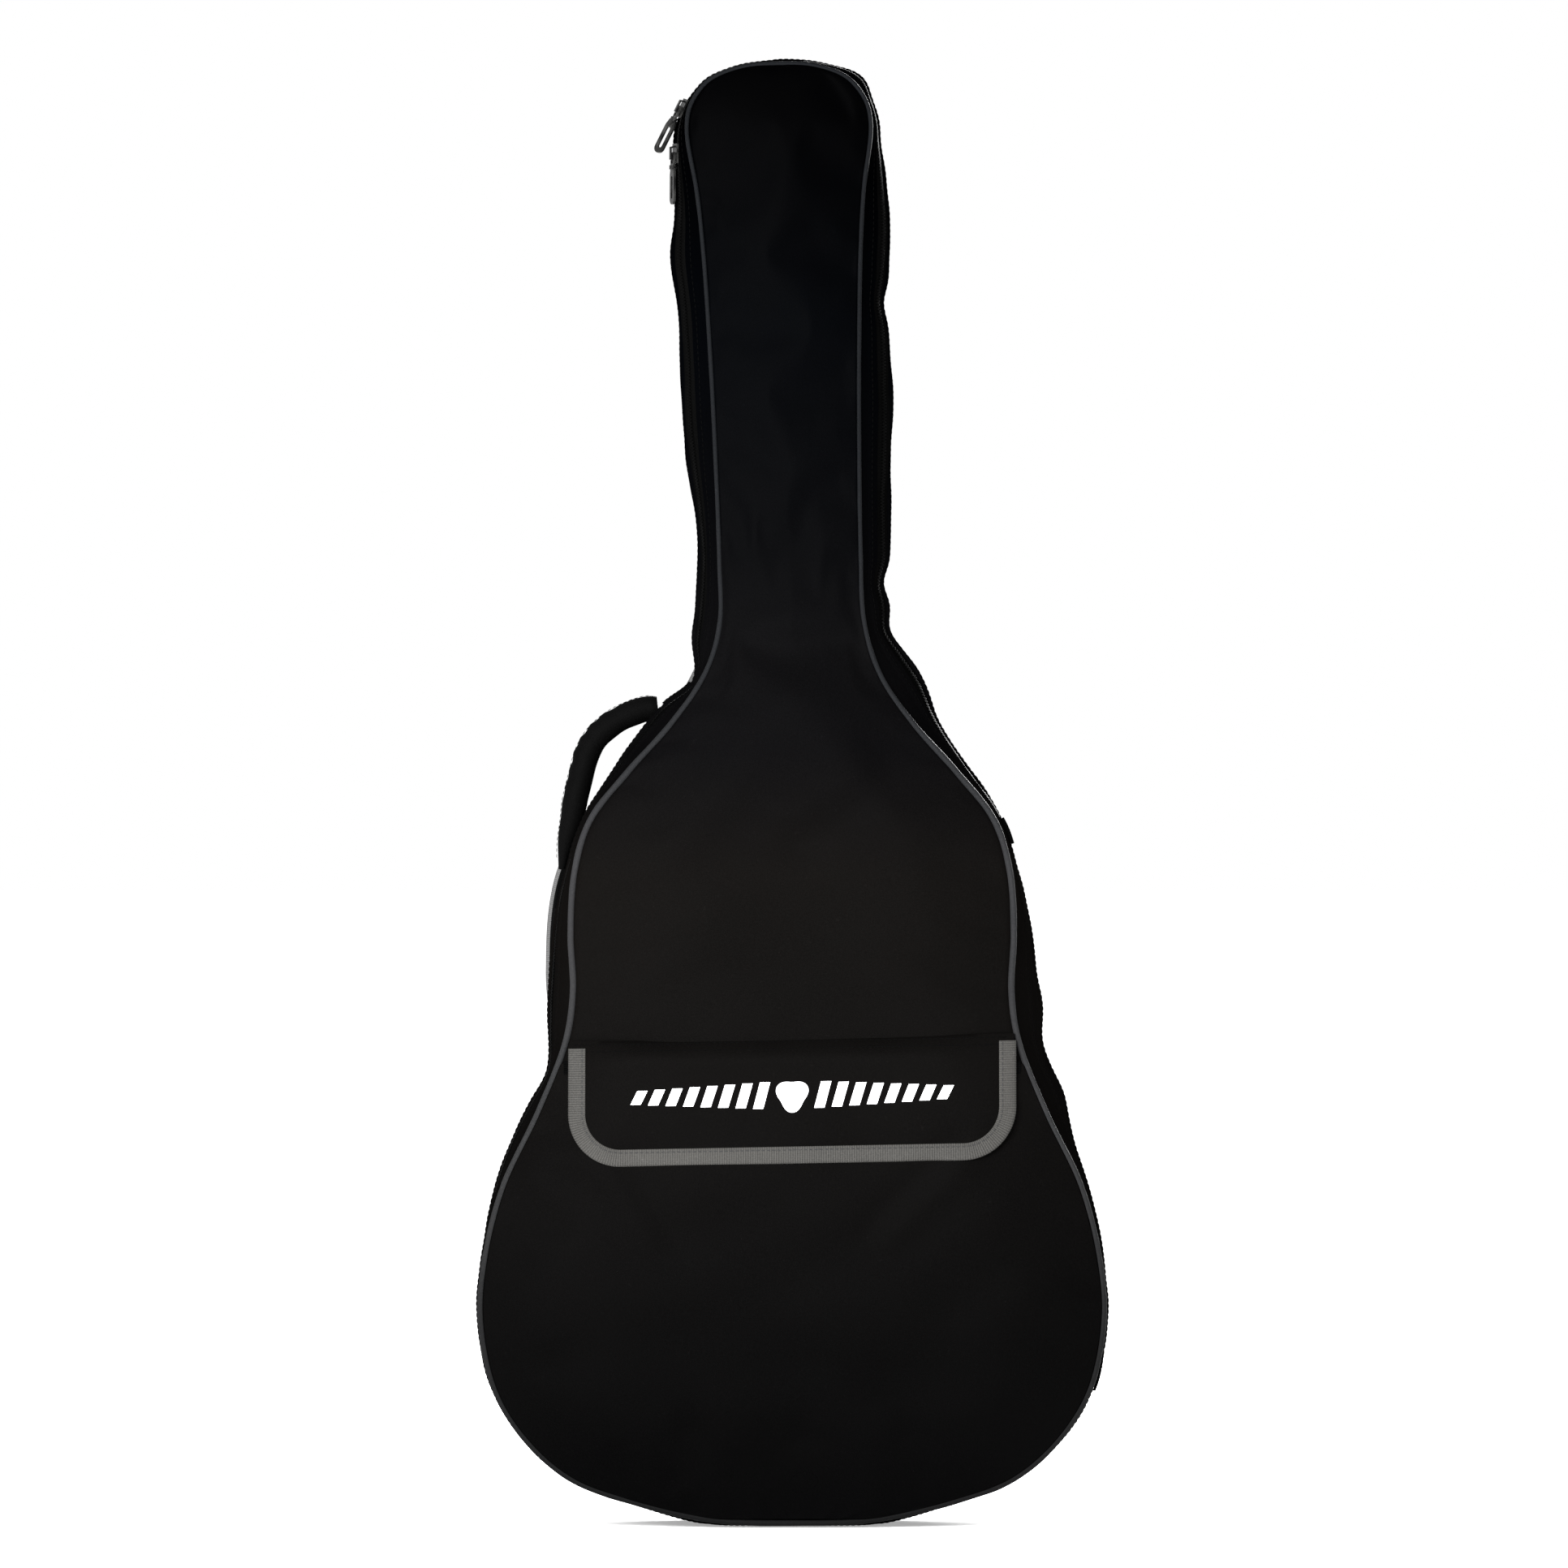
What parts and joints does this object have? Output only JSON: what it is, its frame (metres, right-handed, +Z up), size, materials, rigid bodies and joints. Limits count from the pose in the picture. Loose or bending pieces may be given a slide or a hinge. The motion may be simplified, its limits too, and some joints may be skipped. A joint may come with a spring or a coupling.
{
  "type": "padded gig bag",
  "caption": "Padded bag for a full-size acoustic guitar: zipped lid, front pocket with a flap, side carry handle and back shoulder straps.",
  "frame": {"origin": "middle of the flat patch at the bag's bottom that it stands on", "axes": "+Z up along the bag towards the headstock end, -Y towards the pocket side, +X to the right seen from the pocket side"},
  "size_m": [0.4567, 0.1777, 1.0607],
  "materials": {
    "shell": "black woven nylon with a weak sheen",
    "trim": "grey ribbed polyester binding and piping",
    "lining": "thin brushed lining",
    "foam": "closed-cell foam padding",
    "webbing": "black woven webbing",
    "tape": "black zip tape",
    "hook": "black hook-and-loop tape",
    "nylon": "black moulded nylon",
    "metal": "black painted zinc, worn bright at the edges"
  },
  "bodies": {
    "base": {"back_panel": "shell", "back_padding": "foam", "back_lining": "lining", "back_piping": "shell", "base_gusset": "shell", "base_gusset_padding": "foam", "base_gusset_lining": "lining", "hinge_gusset": "shell", "zip_tape_base": "tape", "zip_coil_base": "nylon", "zip_end_upper": "webbing", "zip_end_lower": "webbing", "handle_tab_upper": "webbing", "handle_tab_lower": "webbing", "strap_pad_left": "shell", "strap_buckle_left": "nylon", "strap_webbing_left": "webbing", "strap_anchor_lower_left": "webbing", "strap_anchor_upper_left": "webbing", "strap_pad_right": "shell", "strap_buckle_right": "nylon", "strap_webbing_right": "webbing", "strap_anchor_lower_right": "webbing", "strap_anchor_upper_right": "webbing"},
    "lid": {"front_panel": "shell", "front_padding": "foam", "front_lining": "lining", "front_piping": "trim", "lid_gusset": "shell", "lid_gusset_padding": "foam", "lid_gusset_lining": "lining", "zip_tape_lid": "tape", "zip_coil_lid": "nylon", "pocket_panel": "shell", "pocket_hem": "webbing", "pocket_loop_left": "hook", "pocket_loop_right": "hook"},
    "flap": {"pocket_flap": "shell", "flap_binding": "trim", "flap_hook_left": "hook", "flap_hook_right": "hook"},
    "slider_lower": {"slider_lower": "metal"},
    "slider_upper": {"slider_upper": "metal"},
    "pull_lower": {"pull_lower": "metal"},
    "pull_upper": {"pull_upper": "metal"},
    "handle": {"handle_grip": "webbing", "handle_end_upper": "webbing", "handle_end_lower": "webbing"}
  },
  "joints": [
    {"name": "lid_open", "type": "hinge", "parent": "base", "child": "lid", "pos_m": [0.22518, -0.018, 0.19469], "axis": [-0.1935, 0, 0.9811], "range_deg": [0, 150]},
    {"name": "flap_open", "type": "hinge", "parent": "lid", "child": "flap", "pos_m": [0, -0.0675, 0.3535], "axis": [-1, 0, 0], "range_deg": [0, 150]},
    {"name": "slider_lower_run", "type": "slide", "parent": "base", "child": "slider_lower", "axis": [0.0461, 0, -0.9989], "range_m": [0, 0.28]},
    {"name": "slider_upper_run", "type": "hinge", "parent": "base", "child": "slider_upper", "pos_m": [-0.02285, -0.018, 1.00053], "axis": [0, 1, 0], "range_deg": [-5, 22]},
    {"name": "pull_lower_flip", "type": "hinge", "parent": "slider_lower", "child": "pull_lower", "pos_m": [-0.08628, -0.01937, 0.99249], "axis": [-0.342, 0.9397, 0.0021], "range_deg": [0, 75]},
    {"name": "pull_upper_flip", "type": "hinge", "parent": "slider_upper", "child": "pull_upper", "pos_m": [-0.08123, -0.01937, 1.02613], "axis": [-0.3061, 0.9397, 0.1526], "range_deg": [0, 150]},
    {"name": "handle_swing", "type": "hinge", "parent": "base", "child": "handle", "pos_m": [-0.1015, 0.02, 0.5912], "axis": [-0.4907, 0, -0.8713], "range_deg": [-20, 20]}
  ]
}
